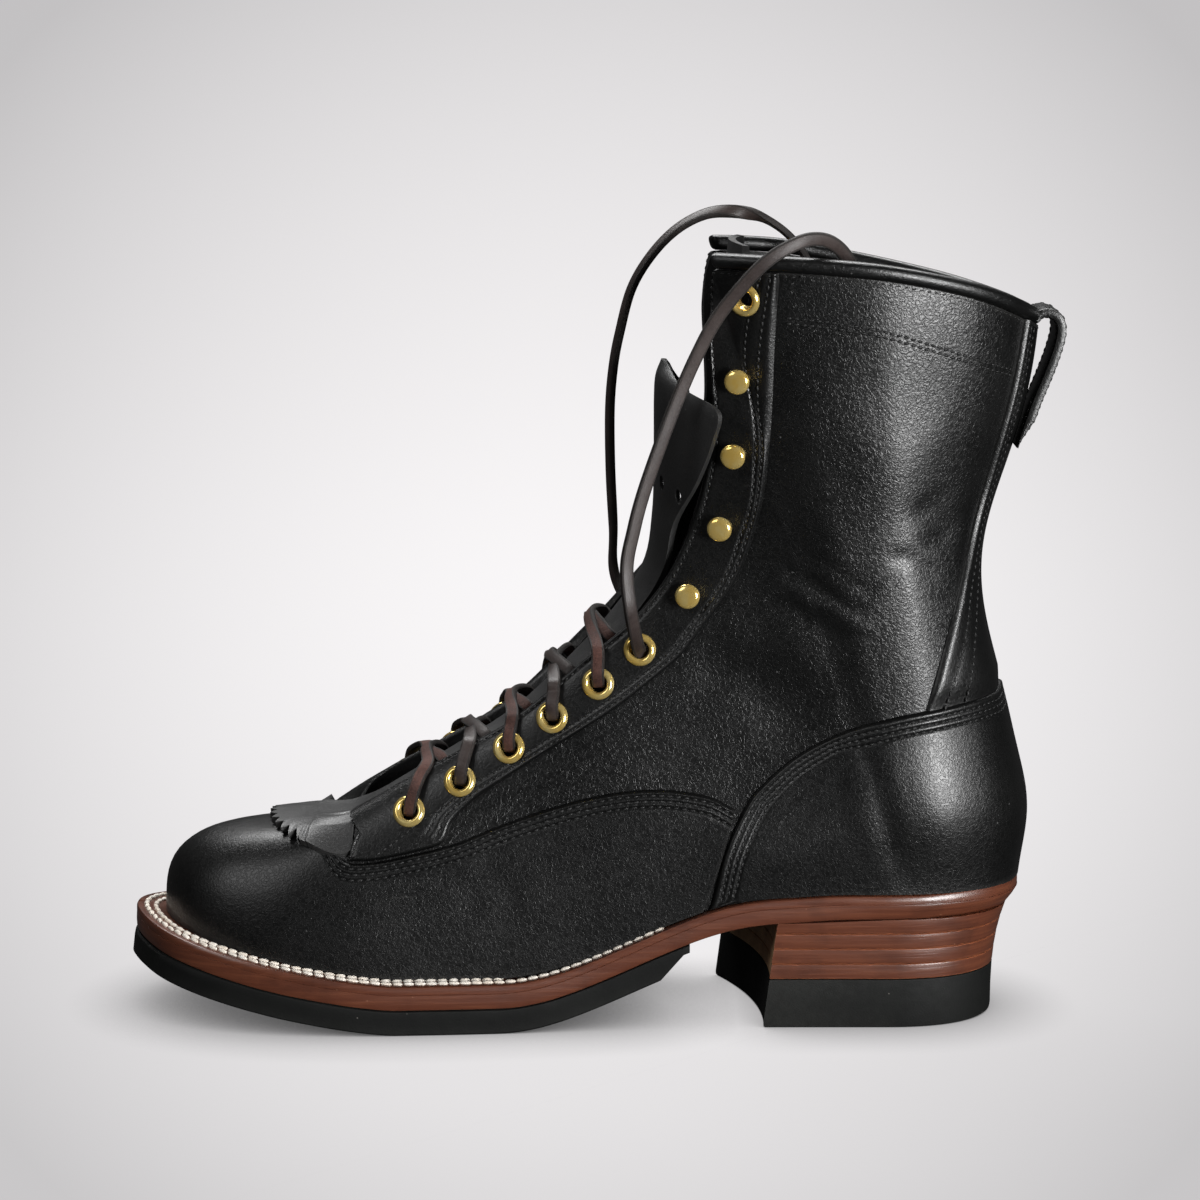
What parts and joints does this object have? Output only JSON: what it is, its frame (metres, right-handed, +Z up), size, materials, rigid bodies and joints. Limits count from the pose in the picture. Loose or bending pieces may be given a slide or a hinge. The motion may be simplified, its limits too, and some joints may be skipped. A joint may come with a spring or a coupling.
{
  "type": "lace-up work boot",
  "caption": "Tall left work boot with a plain round toe, welted leather sole, stacked heel, brass lace hardware, leather lace and a fringed false tongue.",
  "frame": {"origin": "on the floor under the middle of the heel", "axes": "-X towards the toe, -Y towards the outer (lateral) side of the left boot, +Z up"},
  "size_m": [0.3235, 0.1143, 0.2807],
  "materials": {
    "black_leather": "oiled, fine grain, semi-matte",
    "brown_leather": "dyed and waxed sole edge, semi-gloss",
    "tan_leather": "undyed, matte",
    "black_rubber": "matte",
    "brass": "polished",
    "lace_leather": "oiled rawhide, matte"
  },
  "bodies": {
    "root": {"outsole": "black_rubber", "midsole": "brown_leather", "welt": "brown_leather", "insole": "tan_leather", "heel_lift_1": "brown_leather", "heel_lift_2": "brown_leather", "heel_lift_3": "brown_leather", "heel_lift_4": "brown_leather", "heel_top_lift": "black_rubber", "upper": "black_leather", "vamp": "black_leather", "counter": "black_leather", "eyestay_lateral": "black_leather", "eyestay_medial": "black_leather", "backstay": "black_leather", "collar_binding": "black_leather", "pull_loop": "black_leather", "tongue": "black_leather", "kiltie": "black_leather", "eyelet_lateral_1": "brass", "eyelet_lateral_2": "brass", "eyelet_lateral_3": "brass", "eyelet_lateral_4": "brass", "eyelet_lateral_5": "brass", "eyelet_lateral_6": "brass", "eyelet_lateral_7": "brass", "eyelet_medial_1": "brass", "eyelet_medial_2": "brass", "eyelet_medial_3": "brass", "eyelet_medial_4": "brass", "eyelet_medial_5": "brass", "eyelet_medial_6": "brass", "eyelet_medial_7": "brass", "stud_lateral_1": "brass", "stud_lateral_2": "brass", "stud_lateral_3": "brass", "stud_lateral_4": "brass", "stud_medial_1": "brass", "stud_medial_2": "brass", "stud_medial_3": "brass", "stud_medial_4": "brass", "lace_crossing_1": "lace_leather", "lace_crossing_2": "lace_leather", "lace_crossing_3": "lace_leather", "lace_crossing_4": "lace_leather", "lace_crossing_5": "lace_leather", "lace_end_lateral": "lace_leather", "lace_end_medial": "lace_leather"}
  },
  "joints": []
}
